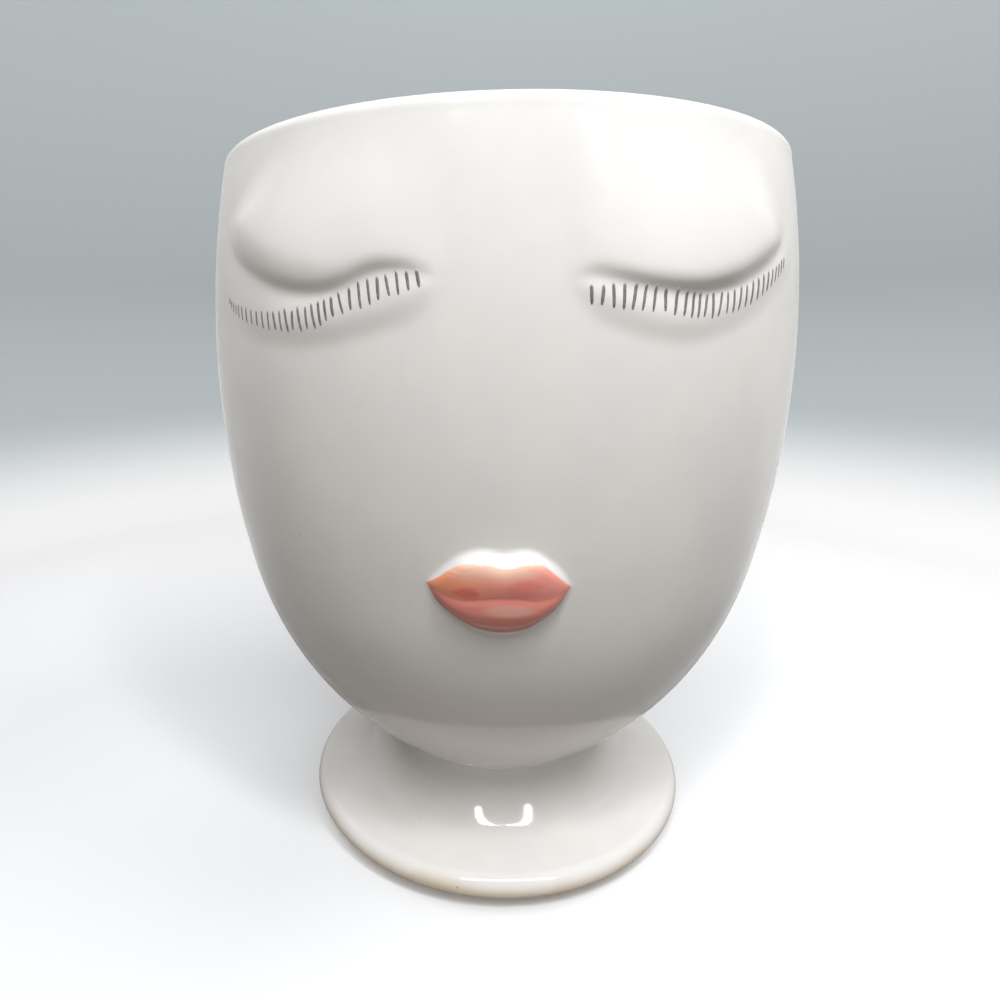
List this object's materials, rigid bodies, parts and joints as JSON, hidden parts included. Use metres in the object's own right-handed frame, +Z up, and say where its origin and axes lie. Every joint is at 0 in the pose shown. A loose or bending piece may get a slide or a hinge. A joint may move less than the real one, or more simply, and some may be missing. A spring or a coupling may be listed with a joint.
{
  "type": "head planter",
  "caption": "Footed white glazed plant pot shaped as a sleeping face, with closed lids under soft brows, coral lips, a round bowl open at the top and a plugged drain hole.",
  "frame": {"origin": "on the bowl's axis, on the surface that the foot ring stands on", "axes": "+Z up along the bowl's axis; the face looks along -Y; +X is the viewer's right"},
  "size_m": [0.1408, 0.1424, 0.17],
  "materials": {
    "white_glaze": "glossy clear glaze over a white body",
    "coral_glaze": "brushed coral underglaze under a glossy clear glaze",
    "plug_rubber": "soft black rubber"
  },
  "bodies": {
    "planter": {"head_bowl": "white_glaze", "pedestal_foot": "white_glaze", "left_brow": "white_glaze", "right_brow": "white_glaze", "left_eyelid": "white_glaze", "right_eyelid": "white_glaze", "lips": "coral_glaze"},
    "plug": {"drain_plug": "plug_rubber"}
  },
  "joints": [
    {"name": "plug_lift", "type": "slide", "parent": "planter", "child": "plug", "axis": [0, 0, 1], "range_m": [0, 0.165]}
  ]
}
